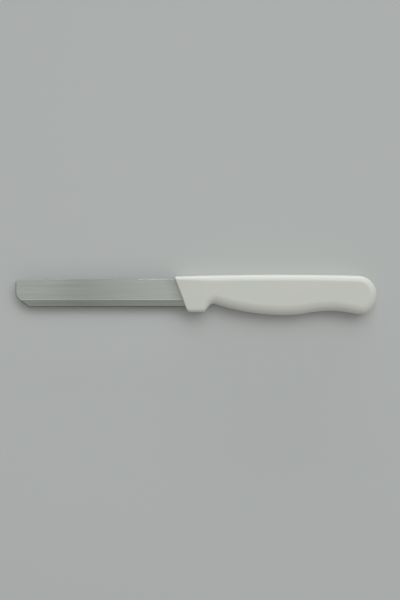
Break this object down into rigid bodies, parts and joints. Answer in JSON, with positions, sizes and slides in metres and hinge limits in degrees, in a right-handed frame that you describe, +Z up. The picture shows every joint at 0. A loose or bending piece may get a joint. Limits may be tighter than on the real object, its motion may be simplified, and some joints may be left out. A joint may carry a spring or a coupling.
{
  "type": "kitchen knife",
  "caption": "Small kitchen knife, lying on its side: straight steel blade with a rounded, cut-off tip and a hidden tang, in a moulded plastic handle with a finger guard.",
  "frame": {"origin": "centre of the overall box in X and Y, on the surface that the knife lies on", "axes": "+X from the blade's tip to the handle's butt, +Y from the cutting edge to the spine, +Z up off the surface, through the thickness"},
  "size_m": [0.21, 0.0234, 0.012],
  "materials": {
    "blade_steel": "satin, ground lengthwise, with a finer ground bevel at the cutting edge",
    "handle_plastic": "white, satin, as moulded"
  },
  "bodies": {
    "root": {"blade": "blade_steel", "handle": "handle_plastic"}
  },
  "joints": []
}
